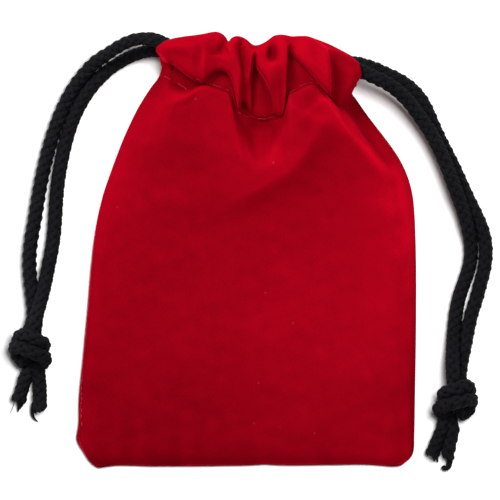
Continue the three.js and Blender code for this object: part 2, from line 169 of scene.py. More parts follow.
LIP = np.array([(151.6, 86.5, 1.6), (161.6, 93.6, 8.8), (174, 94.4, 12.6), (184, 93.4, 13.4), (192, 90.6, 13.6), (198.5, 87.3, 13.6), (204.5, 86.2, 13.7), (209.5, 87, 13.6),
                (214.5, 88.8, 13.5), (219.5, 90.4, 13.5), (224, 92.2, 13.5), (228.8, 93.8, 13.4), (231.6, 100.6, 13.2), (235.6, 114.6, 12.5), (241.5, 121.5, 11.2),
                (246, 124, 10.8), (249.5, 125.2, 10.5), (252, 126, 10.3), (255, 126.4, 10.1), (260, 126.8, 10.0), (266, 126.6, 10.0), (270.5, 125.8, 10.1),
                (273.5, 124.8, 10.6), (277, 123.4, 11.3), (280.5, 121.4, 12.2), (284.2, 117.4, 13.1), (286.2, 106, 13.8), (289, 94, 14.1), (294.8, 91.8, 14.0),
                (299.5, 90, 14.1), (304, 87.4, 14.1), (309.5, 85.8, 14.1), (315.5, 86.4, 13.9), (322, 92, 13.4), (329.5, 99, 12.8), (333.5, 103.4, 11.4), (341, 109.5, 9.2),
                (349.5, 104, 5.4), (355, 97.5, 1.6)])

# Extra height of the crest between the gathers' hollows and the mouth's edge.
CREST = np.zeros(len(U))
CREST[5:11] = 0.3, 0.5, 0.7, 0.7, 0.3, 0.0
CREST[22:27] = 0.2, 0.4, 0.9, 0.6, 0.3
# Sideways bow of the slit between the two middle folds, above and below the casing's middle.
BOW_UP, BOW_DOWN = np.zeros(len(U)), np.zeros(len(U))
BOW_UP[19:24] = -1.7, -3.2, -3.9, -4.2, -1.6
BOW_DOWN[19:25] = 1.0, 2.5, 3.8, 2.9, 1.8, 0.6
# How far the folds have fallen below their crests, and how deep the slit is.
FALL, SLIT = np.zeros(len(U)), np.zeros(len(U))
FALL[14:18] = 0.3, 0.8, 0.8, 0.3
FALL[22:27] = 0.8, 1.6, 1.8, 1.6, 0.8
SLIT[18:21] = 1.3, 2.2, 1.3
RAISE = 2.4
for rows in (STITCH, EDGE, MID, UPPER, TOP, LIP):
    rows[:, 2] += RAISE

NU = 200
# Columns that the body's rounded sides need beside the gathers' own.
UX = np.unique(np.concatenate([U, [0.006, 0.015, 0.028, 0.972, 0.985, 0.994]]))


def columns(rows):
    return np.stack([np.interp(UX, U, rows[:, k]) for k in range(3)], -1)


def polyline_signed(x, y, pts, side):
    """Distance from a polyline, positive on one side, and how far along it the nearest place is (0 to 1)."""
    pts = np.asarray(pts, float)
    best = np.full(x.shape, 1e9); sign = np.zeros(x.shape); along = np.zeros(x.shape)
    seg = np.hypot(*(pts[1:] - pts[:-1]).T); cum = np.concatenate([[0], np.cumsum(seg)])
    for i in range(len(pts) - 1):
        a, b = pts[i], pts[i + 1]
        d = b - a
        t = np.clip(((x - a[0]) * d[0] + (y - a[1]) * d[1]) / (d @ d), 0, 1)
        px, py = a[0] + t * d[0], a[1] + t * d[1]
        r = np.hypot(x - px, y - py)
        s = np.sign((x - a[0]) * d[1] - (y - a[1]) * d[0]) * side
        m = r < best
        best = np.where(m, r, best); sign = np.where(m, s, sign); along = np.where(m, (cum[i] + t * seg[i]) / cum[-1], along)
    return best * sign, along


DRAPE = [(333, 106), (323.5, 122), (312, 139), (304, 152.5), (295, 165), (285, 172.6), (271, 181), (256.5, 189), (237.4, 198.4), (223, 205), (208.7, 211)]
SIDE_RIDGE = [(322, 88), (330.4, 97), (339.5, 106), (347.8, 117), (356, 129.5), (362.7, 139.4), (371, 149), (385, 166), (394, 178)]
CENTRE_Y = [466, 460, 450, 435, 400, 340, 280, 230, 180, 150, 120, 90]
CENTRE_Z = [1.2, 3.3, 5.0, 6.1, 7.1, 7.9, 8.6, 9.8, 12.0, 13.4, 14.2, 14.6]


def dome(u, y):
    c = hermite(CENTRE_Y[::-1], CENTRE_Z[::-1], y.ravel()).reshape(y.shape)
    f = np.clip(1 - np.abs(2 * u - 1) ** 3.6, 0, 1) ** 0.62
    return 1.05 + (c - 1.05) * f


def features(x, y, z0):
    """Soft folds of the body: the slanting drape, the fold over the right side and the valley under the middle gathers."""
    z = z0.copy()
    d, a = polyline_signed(x, y, DRAPE, 1)
    # positive side: lower right of the soft ridge, where it falls off quickly and then more gently
    on = smoothstep(0.0, 0.14, a) * (1 - smoothstep(0.64, 1.0, a))
    far = np.sqrt(np.maximum(d, 0) ** 2 + 3.5 ** 2) - 3.5
    z += 3.1 * np.where(d > 0, np.exp(-far / 17.0), np.exp(-(d / 58.0) ** 2)) * on
    d, a = polyline_signed(x, y, SIDE_RIDGE, 1)
    # positive side: the strip between the fold and the side seam
    on = (1 - smoothstep(0.55, 1.0, a)) * smoothstep(0, 0.08, a)
    z += 1.5 * np.exp(-(np.abs(d) / 27.0) ** 1.5) * on
    z -= np.minimum(4.2, np.maximum(z - 2.2, 0) * 0.58) * smoothstep(0.0, 3.4, d) * on
    v = np.clip((y - 118) / 48, 0, 1)
    z -= 3.9 * (1 - v) * np.exp(-(np.abs(x - 261.5) / (19.5 - 13 * v)) ** 4) * smoothstep(108, 122, y)
    return z - z0


def body_rows():
    """Control rows of the body, from just under the stitches down to the bottom seam."""
    lip = columns(LIP)
    out = []
    wl = (lip[:, 0] - xl(lip[:, 1])) / (xr(lip[:, 1]) - xl(lip[:, 1]))
    wl = np.clip(wl, 0, 1)
    Y0 = 235.0
    for s in (0.10, 0.20, 0.32, 0.45, 0.58, 0.72, 0.86):
        y = lip[:, 1] + (Y0 - lip[:, 1]) * s
        b = smoothstep(0, 1, s)
        w = wl * (1 - b) + UX * b
        x = xl(y) + (xr(y) - xl(y)) * w
        zd = dome(w, y)
        k = smoothstep(0.0, 0.55, s)
        z = lip[:, 2] * (1 - k) + zd * k
        z = np.minimum(z, np.where((w < 0.02) | (w > 0.98), zd + (1 - k) * 3.0, z))
        out.append(np.stack([x, y, z], -1))
    for y0 in (235, 265, 300, 340, 375, 405, 428, 442, 452, 458.5, 463, 466):
        t = (y0 - 235) / 231
        yb = hermite(BOTTOM[:, 0], BOTTOM[:, 1], xl(np.array([y0]))[0] + (xr(np.array([y0]))[0] - xl(np.array([y0]))[0]) * UX)
        y = y0 + (yb - 466) * smoothstep(0.8, 1.0, t)
        yq = np.clip(np.full(UX.shape, float(y0)), 62, 466.5)
        x = xl(yq) + (xr(yq) - xl(yq)) * UX
        z = dome(UX, yq)
        out.append(np.stack([x, y, z], -1))
    return out


def casing_rows():
    s, e, m, up, t = (columns(r) for r in (STITCH, EDGE, MID, UPPER, TOP))
    gap = s[:, 1] - e[:, 1]
    n1 = s * 0.55 + e * 0.45
    n1[:, 2] = s[:, 2] + 0.6
    n2 = e.copy()
    n2[:, 1] -= np.clip(gap * 0.10, 0.3, 2.6)
    n2[:, 2] = s[:, 2] + np.clip(gap * 0.08, 0.3, 1.5)
    n2[:, 2] = np.minimum(n2[:, 2], e[:, 2] - 0.4)
    # the casing's roll: out over its own lower edge, then up to the crest
    n3 = e.copy()
    n3[:, 2] = n2[:, 2] * 0.45 + e[:, 2] * 0.55
    n3[:, 1] += np.clip(gap * 0.02, 0, 0.5)
    e2 = e * 0.8 + m * 0.2
    e2[:, 2] = e[:, 2] * 0.45 + m[:, 2] * 0.55
    em = e * 0.42 + m * 0.58
    em[:, 2] = e[:, 2] * 0.15 + m[:, 2] * 0.85 + 0.1
    em[:, 0] += np.interp(UX, U, BOW_DOWN)
    e2[:, 0] += 0.65 * np.interp(UX, U, BOW_DOWN)
    mu = 0.5 * (m + up)
    mu[:, 2] += 0.25 - np.interp(UX, U, SLIT)
    em[:, 2] -= np.interp(UX, U, FALL)
    e2[:, 2] -= 0.8 * np.interp(UX, U, FALL)
    mu[:, 0] += np.interp(UX, U, BOW_UP)
    t1 = up * 0.4 + t * 0.6
    t1[:, 2] = up[:, 2] * 0.5 + t[:, 2] * 0.5 + 0.6 + np.interp(UX, U, CREST)
    rows = [s, n1, n2, n3, e2, em, m, mu, up, t1, t]
    # the turned-in hem, on the mouth's side
    hem = np.full(UX.shape, 9.4) - 1.6 * np.abs(2 * UX - 1) ** 3
    h1 = t.copy(); h1[:, 1] += 1.2; h1[:, 2] = np.maximum(t[:, 2] - 2.4, hem + 1.4)
    h2 = t * 0.45 + up * 0.55; h2[:, 1] += 3; h2[:, 2] = hem + 0.4
    h3 = up * 0.3 + m * 0.7; h3[:, 1] += 6; h3[:, 2] = hem
    h4 = m * 0.35 + s * 0.65; h4[:, 2] = np.minimum(hem, s[:, 2] - 1.9)
    h5 = s.copy(); h5[:, 1] += 4; h5[:, 2] = s[:, 2] - 1.7
    for h in (h2, h3, h4, h5):
        h[:, 0] += 9 * (1 - smoothstep(0, 0.07, UX)) - 5 * smoothstep(0.93, 1, UX)
    return rows, [h1, h2, h3, h4, h5]


def grid_of(rows, nu, nv, row_weights=None):
    """Spline surface through control rows; columns at UX."""
    C = np.stack(rows)                                     # rows x cols x 3
    uu = np.linspace(0, 1, nu)
    fine = np.stack([hermite(UX, r, uu) for r in C])       # rows x nu x 3
    mm = fine * np.array([0.2262, 0.2262, 1.0])
    step = np.linalg.norm(mm[1:] - mm[:-1], axis=2).mean(1)
    if row_weights is not None:
        step = step * row_weights
    v = np.concatenate([[0], np.cumsum(step)])
    vv = np.linspace(0, v[-1], nv)
    out = np.empty((nv, nu, 3))
    for k in range(nu):
        out[:, k] = hermite(v, fine[:, k], vv)
    return out, v / v[-1]


def normals(P):
    du = np.gradient(P, axis=1); dv = np.gradient(P, axis=0)
    n = np.cross(du, dv)
    return n / np.maximum(np.linalg.norm(n, axis=2, keepdims=True), 1e-12)


def sheet_mesh(name, P, thick, flip=False, uv_mm=None):
    """A closed sheet: the grid P (metres) is its pile face, and the second face lies thick behind it."""
    nv, nu, _ = P.shape
    n = normals(blur(blur(P, 2, 0), 2, 1))
    n = blur(blur(n, 2, 0), 2, 1)
    n /= np.maximum(np.linalg.norm(n, axis=2, keepdims=True), 1e-12)
    Q = P - n * thick * (-1 if flip else 1)
    V = np.concatenate([P.reshape(-1, 3), Q.reshape(-1, 3)])
    idx = np.arange(nv * nu).reshape(nv, nu)
    a, b, c, d = idx[:-1, :-1].ravel(), idx[:-1, 1:].ravel(), idx[1:, 1:].ravel(), idx[1:, :-1].ravel()
    o = nv * nu
    F = [np.stack([a, b, c, d], 1), np.stack([a + o, d + o, c + o, b + o], 1)]

    def strip(line):
        p, q = line[:-1], line[1:]
        return np.stack([q, p, p + o, q + o], 1)
    F += [strip(idx[0]), strip(idx[:, -1]), strip(idx[-1][::-1]), strip(idx[:, 0][::-1])]
    F = np.concatenate(F)
    if flip:
        F = F[:, ::-1]
    me = bpy.data.meshes.new(name)
    me.from_pydata(V.tolist(), [], F.tolist())
    me.update()
    uvl = me.uv_layers.new(name="flat")
    if uv_mm is None:
        su = np.linalg.norm(np.diff(P, axis=1), axis=2).mean(0); sv = np.linalg.norm(np.diff(P, axis=0), axis=2).mean(1)
        uu = np.concatenate([[0], np.cumsum(su)]); vv = np.concatenate([[0], np.cumsum(sv)])
        uv = np.stack(np.meshgrid(uu, vv), -1).reshape(-1, 2) * 1000 / 100.0
    uv = np.concatenate([uv, uv])
    li = np.empty(len(me.loops), dtype=np.int64); me.loops.foreach_get("vertex_index", li)
    uvl.data.foreach_set("uv", uv[li].astype(np.float32).ravel())
    me.polygons.foreach_set("use_smooth", np.ones(len(me.polygons), dtype=bool))
    ob = bpy.data.objects.new(name, me)
    bpy.context.scene.collection.objects.link(ob)
    return ob


# ---------------------------------------------------------------- front panel
rows_c, hem = casing_rows()
lip = columns(LIP)
control = body_rows()[::-1] + [lip] + rows_c + hem
NV = 250
weights = np.ones(len(control) - 1)
first_c = len(body_rows()) + 1
weights[first_c - 3:] = 2.0
F, vparam = grid_of(control, NU, NV, weights)
F = blur(blur(F, 2, 0), 1, 1)
v_stitch = vparam[first_c]
vg = np.linspace(0, 1, NV)[:, None]
body_mask = 1 - smoothstep(v_stitch - 0.06, v_stitch, vg)
F[..., 2] += features(F[..., 0], F[..., 1], F[..., 2]) * body_mask
# light unevenness of soft cloth that has been folded and handled
ug = np.linspace(0, 1, NU)[None, :]
edge_fade = smoothstep(0, 0.06, np.minimum(ug, 1 - ug)) * smoothstep(0, 0.03, vg)
F[..., 2] += (0.16 * ripple(F[..., 0], F[..., 1], 70, 3) + 0.07 * ripple(F[..., 0], F[..., 1], 28, 5)) * edge_fade
# short puckers along the sewn sides and bottom
near = np.exp(-np.minimum(ug, 1 - ug) / 0.03) * body_mask
F[..., 2] += near * (1 - np.exp(-np.minimum(ug, 1 - ug) / 0.008)) * 0.22 * ripple(F[..., 1], F[..., 1] * 0, 26, 11, 6)
nearb = np.exp(-vg / 0.03) * (1 - np.exp(-vg / 0.006))
F[..., 2] += nearb * 0.5 * ripple(F[..., 0], F[..., 0] * 0, 24, 12, 6)
F[..., 2] = np.maximum(F[..., 2], 1.0)
FRONT = world(F)
front = sheet_mesh("front_velvet", FRONT, 0.0009)



def painted_fold_light(P, side):
    """Painted light from how the cloth bends: above 0 is painted highlight along the crests of folds, below 0 is
    painted shade in their hollows.
    """
    n = normals(blur(blur(P, 3, 0), 3, 1)) * side
    out = np.zeros(P.shape[:2])
    for passes, full in ((8, 0.00012), (40, 0.0006)):
        away = np.sum((P - blur(blur(P, passes, 0), passes, 1)) * n, axis=2)
        out += 0.5 * np.tanh(away / full)
    out = np.sign(out) * np.maximum(np.abs(out) - 0.07, 0)
    out = np.where(out < 0, 0.6 * out, out)
    return blur(blur(out, 2, 0), 2, 1)


# stores the painted highlight and painted shade as a point attribute on both faces of a panel
def set_painted_fold_light(ob, values):
    a = ob.data.attributes.new("painted_fold_light", "FLOAT", "POINT")
    a.data.foreach_set("value", np.concatenate([values.ravel(), values.ravel()]).astype(np.float32))


# painted light on the front panel: painted highlight along the right side, along the side fold and, less, along the
# upper left side; painted shade darker towards the bottom
fx, fy = F[..., 0], F[..., 1]
ridge_d, ridge_a = polyline_signed(fx, fy, SIDE_RIDGE, 1)
strip = smoothstep(0, 4, ridge_d) * (1 - smoothstep(0.8, 1.0, ridge_a))
painted_side_light = (0.40 * smoothstep(345, 400, fx) + 0.34 * smoothstep(392, 411, fx)) * smoothstep(105, 160, fy) * (1 - 0.75 * smoothstep(180, 280, fy)) * (1 - smoothstep(300, 420, fy)) * (1 - strip)
painted_side_light += 0.36 * np.exp(-((ridge_d + 4) / 7) ** 2) * smoothstep(0, 0.1, ridge_a) * (1 - smoothstep(0.85, 1.0, ridge_a)) * (1 - strip)
painted_side_light -= 0.24 * smoothstep(300, 460, fy)


def spot(x, y, rx, ry):
    return np.exp(-((fx - x) / rx) ** 2 - ((fy - y) / ry) ** 2)


# a spot of painted highlight on the left of the body and a spot of painted shade under the right gathers
painted_side_light += 0.14 * spot(184, 104, 18, 7) - 0.32 * spot(298, 114, 26, 19)
# painted shade on the casing: on the right flap beside the lobe, at its left end, beside a narrow fold and in the
# hollows between the gathers
painted_casing_shade = -0.30 * smoothstep(331, 335, fx) * (1 - smoothstep(344, 362, fx))
painted_casing_shade -= 0.16 * (1 - smoothstep(170, 180, fx)) * smoothstep(62, 67, fy)
painted_casing_shade -= 0.12 * np.exp(-((fx - 247) / 5) ** 2) * smoothstep(46, 54, fy)
painted_casing_shade -= 0.26 * spot(262, 58, 6, 9) + 0.12 * spot(281, 56, 6, 10) + 0.24 * spot(277, 101, 8, 10) + 0.26 * spot(263, 102, 9, 13)
# painted highlight along the upper left edge
painted_side_light += 0.15 * np.exp(-np.maximum(fx - xl(fy.ravel()).reshape(fy.shape), 0) / 16.0) * smoothstep(85, 115, fy) * (1 - smoothstep(190, 320, fy))
# the painted highlight and painted shade of the folds, the sides and the casing all go into the front panel's point
# attribute
set_painted_fold_light(front, 0.36 * painted_fold_light(FRONT, 1) + painted_side_light * body_mask + painted_casing_shade * (1 - body_mask))

# ---------------------------------------------------------------- back panel
# It lies on its outer face; its casing is gathered in plain soft folds, and its hem faces the mouth.
BT = np.array([(0, 163, 47), (.06, 169, 43.5), (.13, 178, 41), (.2, 190, 40), (.28, 203, 39), (.36, 216, 40), (.42, 228, 45), (.47, 237, 42), (.53, 250, 47),
               (.58, 259, 49), (.64, 270, 43), (.70, 283, 38.5), (.76, 296, 37), (.80, 305, 35.6), (.85, 317, 39.2), (.89, 328, 43.4), (.93, 339, 48.8), (.97, 350, 54.8), (1, 358, 60)])
BS = np.array([(0, 164.5, 77), (.1, 178, 84), (.25, 205, 92), (.4, 232, 100), (.5, 252, 106), (.6, 272, 105), (.75, 303, 98), (.9, 333, 96), (1, 352, 93)])


def back_panel():
    bt = np.stack([hermite(BT[:, 0], BT[:, 1], UX), hermite(BT[:, 0], BT[:, 2], UX)], -1)
    bs = np.stack([hermite(BS[:, 0], BS[:, 1], UX), hermite(BS[:, 0], BS[:, 2], UX)], -1)
    folds = 0.5 + 0.5 * np.cos(2 * math.pi * 8.0 * (UX + 0.035 * np.sin(9 * UX) + 0.018 * np.sin(23 * UX + 1)) + 0.6)   # 1 on a fold that touches the surface below
    folds = 1 - (1 - folds) * (0.72 + 0.28 * np.sin(31 * UX + 2))
    ends = smoothstep(0, 0.05, np.minimum(UX, 1 - UX))
    lift = (1 - folds) * 1.5 * ends
    rise = 2.6 * (1 - smoothstep(0, 0.045, np.minimum(UX, 1 - UX)))

    def at(f, z):
        return np.concatenate([bs * (1 - f) + bt * f, np.broadcast_to(np.asarray(z, float), UX.shape)[:, None]], 1)
    rows = []
    for y0 in (467, 464.5, 460, 452, 440, 425, 400, 360, 310, 265, 235):
        yq = np.full(UX.shape, float(y0))
        xa = hermite(BACK_LEFT[:, 0], BACK_LEFT[:, 1], yq); xb = xr(np.minimum(yq, 466.5)) + (0.6 if y0 > 440 else 0.3)
        x = xa + (xb - xa) * UX
        yb = hermite(BOTTOM[:, 0], BOTTOM[:, 1], x) + 0.5
        y = y0 + (yb - 467) * smoothstep(0.8, 1.0, (y0 - 235) / 232)
        rows.append(np.stack([x, y, np.full(UX.shape, 0.02)], -1))
    s0 = at(0, 0)
    w0 = np.clip((s0[:, 0] - xl(s0[:, 1])) / (xr(s0[:, 1]) - xl(s0[:, 1])), 0, 1)
    for s in (0.85, 0.7, 0.55, 0.4, 0.26, 0.14, 0.06):
        y = s0[:, 1] + (235 - s0[:, 1]) * s
        b = smoothstep(0, 1, s)
        w = w0 * (1 - b) + UX * b
        xa = hermite(BACK_LEFT[:, 0], BACK_LEFT[:, 1], y); xb = xr(y)
        z = 0.02 + lift * (1 - smoothstep(0.0, 0.6, s)) * 1.05 + rise * (1 - smoothstep(0.0, 0.4, s))
        rows.append(np.stack([xa + (xb - xa) * w, y, z], -1))
    rows.append(at(0, 0.9 + lift * 0.9 + rise))                                  # stitches, drawn up a little
    rows.append(at(0.12, 0.25 + lift * 0.8 + rise * 0.8))
    rows.append(at(0.35, 0.05 + lift * 0.8 + rise * 0.3))
    rows.append(at(0.65, 0.05 + lift * 0.8))
    rows.append(at(0.88, 0.5 + lift * 0.6))
    rows.append(at(1.0, 2.6 + 0.2 * lift))                                 # the fold at the mouth
    rows.append(at(0.9, 5.0 + 0.25 * lift))
    rows.append(at(0.65, 5.7 + 0.2 * lift))
    rows.append(at(0.35, 5.6 + 0.2 * lift))
    rows.append(at(0.12, 4.0))
    rows.append(at(-0.05, 2.9 + 0.5 * lift))
    return rows


brows = back_panel()
B, bparam = grid_of(brows, NU, 200, np.concatenate([np.ones(17), np.full(len(brows) - 18, 1.8)]))
B = blur(blur(B, 1, 0), 1, 1)
bv = np.linspace(0, 1, B.shape[0])[:, None]
B[..., 2] = np.maximum(B[..., 2], 0.02)
BACK = world(B)
back = sheet_mesh("back_velvet", BACK, 0.0009, flip=True)
# painted highlight on the back panel's fold crests and painted shade in its hollows
set_painted_fold_light(back, 0.36 * painted_fold_light(BACK, -1))


# ---------------------------------------------------------------- tubes and braids
def frames(path):
    T = np.gradient(path, axis=0)
    T /= np.linalg.norm(T, axis=1, keepdims=True)
    N = np.empty_like(T)
    n = np.cross(T[0], [0.0, 0.0, 1.0])
    if np.linalg.norm(n) < 1e-6:
        n = np.cross(T[0], [1.0, 0, 0])
    N[0] = n / np.linalg.norm(n)
    for i in range(1, len(T)):
        v = N[i - 1] - T[i] * (N[i - 1] @ T[i])
        N[i] = v / np.linalg.norm(v)
    return T, N, np.cross(T, N)


def resample(path, step):
    d = np.concatenate([[0], np.cumsum(np.linalg.norm(np.diff(path, axis=0), axis=1))])
    n = max(4, int(round(d[-1] / step)) + 1)
    q = np.linspace(0, d[-1], n)
    return hermite(d, path, q), d[-1]


def sweep(path, ra, rb, side_dir, sides):
    """Tube of elliptical section: half-width ra across side_dir x tangent, half-thickness rb along side_dir. Closed ends."""
    T = np.gradient(path, axis=0); T /= np.linalg.norm(T, axis=1, keepdims=True)
    R = side_dir - T * np.sum(side_dir * T, 1, keepdims=True); R /= np.linalg.norm(R, axis=1, keepdims=True)
    S = np.cross(T, R)
    a = 2 * math.pi * np.arange(sides) / sides
    ra = np.broadcast_to(np.asarray(ra, float), (len(path),)); rb = np.broadcast_to(np.asarray(rb, float), (len(path),))
    ring = path[:, None] + S[:, None] * (np.cos(a)[None, :, None] * ra[:, None, None]) + R[:, None] * (np.sin(a)[None, :, None] * rb[:, None, None])
    V = ring.reshape(-1, 3)
    n = len(path)
    i = np.arange(n - 1)[:, None] * sides; k = np.arange(sides)[None, :]; k2 = (k + 1) % sides
    Fq = np.stack([i + k, i + k2, i + sides + k2, i + sides + k], -1).reshape(-1, 4)
    caps = [list(range(sides))[::-1], [(n - 1) * sides + j for j in range(sides)]]
    uv = np.stack(np.meshgrid(np.arange(sides) / sides, np.arange(n) / n), -1).reshape(-1, 2)
    return V, Fq, caps, uv


class Builder:
    def __init__(self):
        self.V, self.F, self.uv, self.n = [], [], [], 0

    def add(self, V, F, caps=(), uv=None):
        self.V.append(V)
        self.F += [[int(q) + self.n for q in f] for f in F] + [[int(q) + self.n for q in f] for f in caps]
        self.uv.append(np.zeros((len(V), 2)) if uv is None else uv)
        self.n += len(V)

    def obj(self, name):
        me = bpy.data.meshes.new(name)
        me.from_pydata(np.concatenate(self.V).tolist(), [], self.F)
        me.update()
        uv = np.concatenate(self.uv)
        lay = me.uv_layers.new(name="flat")
        li = np.empty(len(me.loops), dtype=np.int64); me.loops.foreach_get("vertex_index", li)
        lay.data.foreach_set("uv", uv[li].astype(np.float32).ravel())
        me.polygons.foreach_set("use_smooth", np.ones(len(me.polygons), dtype=bool))
        ob = bpy.data.objects.new(name, me)
        bpy.context.scene.collection.objects.link(ob)
        return ob


PITCH = 0.0086
FULL = 1.07


def braid(build, core, path, sizes=None, cut=None, phase=0.0, size=FULL):
    """Eight yarns braided round the path. sizes: how full the braid is along the path; cut: the way its cut end faces."""
    step = 0.00027
    d = np.concatenate([[0], np.cumsum(np.linalg.norm(np.diff(path, axis=0), axis=1))])
    P, L = resample(path, step)
    T, N, Bn = frames(P)
    s = np.linspace(0, L, len(P))
    k0 = size * (np.ones(len(s)) if sizes is None else np.interp(s, d, sizes))
    w = 2 * math.pi / PITCH
    g = np.random.default_rng(int(phase * 1000))
    opens = smoothstep(L - 0.0016, L, s) * (cut is not None)
    n = 7

    def kept(c, slack):
        if cut is None:
            return len(c)
        m = np.array([cut[0], -cut[1], 0.0]); m /= np.linalg.norm(m)
        past = np.nonzero((c - P[-1]) @ m > slack)[0]
        past = past[past > len(c) * 0.8]
        return past[0] if len(past) else len(c)
    for k in range(8):
        turn = 1 if k < 4 else -1
        th = turn * w * s + (k % 4) * math.pi / 2 + phase
        th = th + opens * (0.35 * math.sin(3 * k + phase * 5))
        r = (0.98e-3 + turn * 0.19e-3 * np.cos(4 * w * s)) * k0 + opens * 0.00018
        rad = N * np.cos(th)[:, None] + Bn * np.sin(th)[:, None]
        c = P + rad * r[:, None]
        e = kept(c, g.uniform(-0.0002, 0.0003))
        V, Fq, caps, uv = sweep(c[:e], 0.62e-3 * k0[:e], 0.43e-3 * k0[:e], rad[:e], n)
        uv[:, 1] = np.repeat(s[:e], n) * 1000 / 10
        build.add(V, Fq, caps, uv)
    # a plain core keeps the braid from being seen through
    e = kept(P, -0.0003)
    V, Fq, caps, uv = sweep(P[:e], 0.78e-3 * k0[:e], 0.78e-3 * k0[:e], N[:e], 6)
    core.add(V, Fq, caps, uv)
    return P, L


def wisp(build, pts, thick, thin):
    """A loose lock of the cord's fibres through plan points, thinning towards its end (radii in mm)."""
    ctl = np.array(pts, float)
    d = np.concatenate([[0], np.cumsum(np.hypot(*(ctl[1:] - ctl[:-1])[:, :2].T))])
    q = np.linspace(0, d[-1], 26)
    path = world(hermite(d, ctl, q))
    r = np.linspace(thick, thin, len(path)) * 1e-3
    V, Fq, caps, uv = sweep(path, r, r * 0.8, np.broadcast_to(np.array([0, 0, 1.0]), path.shape) + 1e-6, 7)
    build.add(V, Fq, caps, uv)


def fray(build, tip, direction, count, length, seed):
    g = np.random.default_rng(seed)
    d = np.asarray(direction, float); d /= np.linalg.norm(d)
    side = np.cross(d, [0, 0, 1.0]); side /= np.linalg.norm(side)
    for _ in range(count):
        off = side * g.uniform(-0.0012, 0.0012) + np.array([0, 0, 1.0]) * g.normal(0, 0.0005)
        start = np.asarray(tip) + off - d * 0.0010
        v = d + side * g.normal(0, 0.16) + np.array([0, 0, 1.0]) * g.normal(-0.10, 0.10)
        v /= np.linalg.norm(v)
        ln = length * g.uniform(0.5, 1.0)
        q = np.linspace(0, 1, 6)[:, None]
        path = start + v * ln * q + side * g.normal(0, 0.2) * ln * q ** 2
        path[:, 2] = np.maximum(path[:, 2], 0.0002)
        r = np.linspace(0.00022, 0.00009, 6)
        V, Fq, caps, uv = sweep(path, r, r, np.broadcast_to(np.array([0, 0, 1.0]), path.shape) + 1e-6, 5)
        build.add(V, Fq, caps, uv)


LOW, HIGH = 1.74, 4.6
LEFT_OUTER = [(173, 48.5, 10.2), (164, 43.6, 9.9), (156, 40.2, 9.4), (147, 38.7, 8.8), (134.6, 39.7, 7.8), (121.5, 45.0, 6.4), (107.5, 54.0, 4.8), (94.8, 63.0, 3.4), (84, 74.5, 2.3), (75, 86.3, LOW),
              (67.3, 99.5, LOW), (60.3, 115, LOW), (54.0, 132, LOW), (48.6, 150, LOW), (44.2, 168, LOW), (40.4, 186, LOW), (37.4, 204, LOW),
              (34.7, 221, LOW), (31.6, 238, LOW), (29.8, 254, LOW), (29.7, 268, LOW), (30.8, 282, LOW), (32.4, 295, LOW), (33.6, 307, LOW), (33.6, 317, LOW)]
LEFT_INNER = [(172, 54, 4.2), (163, 51.6, 4.4), (154, 50, 4.4), (144.3, 51.9, 3.6), (131.5, 56.2, 2.4), (119, 62.9, LOW), (107.3, 70.9, LOW), (96.5, 81, LOW), (87.5, 92.4, LOW), (80, 104.6, LOW),
              (73.4, 118.5, LOW), (68.2, 133.4, LOW), (64, 149.5, LOW), (60.6, 166, LOW), (58, 183, LOW), (56.4, 200, LOW), (55.4, 217, LOW),
              (54, 235, LOW), (51.4, 252, LOW), (48.2, 268, LOW + 0.3), (45.4, 282, LOW + 0.9), (42.6, 294, LOW + 1.8), (39.6, 305, HIGH - 0.6), (36.8, 315, HIGH)]
RIGHT_INNER = [(350, 66.4, 9.4), (358, 69.8, 9.1), (366, 73.2, 8.9), (374, 77, 8.6), (385, 82.2, 8.1), (396, 89.6, 7.4), (406, 98.8, 6.7), (415, 109.8, 6.0), (423.6, 122, 5.3), (431.6, 134.6, HIGH + .3), (439.0, 148.6, HIGH + .2), (445.4, 163, HIGH),
               (451.2, 178, HIGH), (457.0, 194, HIGH - 0.2), (462.6, 209, HIGH - 1.0), (467, 224, LOW + 1.6), (470.4, 240, LOW + 0.4), (471.2, 254, LOW), (469, 268, LOW), (464.4, 282, LOW),
               (459.6, 296, LOW), (456.4, 311, LOW), (454.4, 328, LOW + .2), (453.2, 345, LOW + 1.0), (452.4, 360, LOW + 2.2), (452.6, 371, LOW + 2.7)]
RIGHT_OUTER = [(350, 62.6, 4.2), (358, 63.6, 4.4), (366, 65.8, 4.0), (374, 68.4, 3.2), (386, 73.8, 2.2), (398, 79.4, LOW), (409.8, 87.4, LOW), (420, 98.2, LOW), (427.2, 111, LOW), (433, 124.6, LOW), (439.6, 139, LOW), (447.0, 153.6, LOW), (454.2, 168, LOW),
               (461.4, 184, LOW), (468.6, 199.6, LOW), (476.2, 215, LOW), (482.4, 230, LOW), (485.4, 243, LOW), (485.8, 256, LOW), (484, 270, LOW), (480.4, 284, LOW),
               (476.4, 299, LOW), (471.6, 314, LOW), (468, 330, LOW), (465, 346, LOW), (462, 360, LOW), (460.4, 371, LOW)]
# The overhand knot that both strands of a pair make together: each goes in under the turns, round behind them, over
# the front as one of two turns side by side, and out under them (from the knot's middle; height in mm; fullness).
LEFT_UPPER_TURN = [(5.5, -24, 4.6, .95), (5, -14, 4.4, .85), (4.5, -4, 4.3, .8), (3, 5, 3.6, .8), (-3, 9.5, 2.4, .85), (-9.5, 5, 2.0, .9), (-12.2, -3, 2.3, .95),
                   (-11.8, -10, 3.9, 1), (-6.8, -13.4, 6.2, 1), (1, -10.8, 7.3, 1), (8.5, -7.2, 6.5, 1), (13.4, -4, 4.4, 1), (11.5, 2, 2.4, .9), (8, 9, 1.9, .9), (7.6, 17, 2.0, 1)]
LEFT_LOWER_TURN = [(0, -22, 2.6, .95), (-4, -12, 3.6, .85), (-5, -2, 4.2, .8), (-4.5, 7, 3.6, .8), (-8, 14, 2.2, .9), (-12.6, 8.6, 2.0, .9), (-15, 1.8, 2.8, .95),
                   (-14.6, -1.6, 4.6, 1), (-8.5, -0.4, 6.8, 1), (0, 2.8, 7.4, 1), (8, 6.2, 6.7, 1), (14.4, 9.4, 4.4, 1), (12, 15.4, 2.5, .95), (3.5, 18, 2.0, .95)]
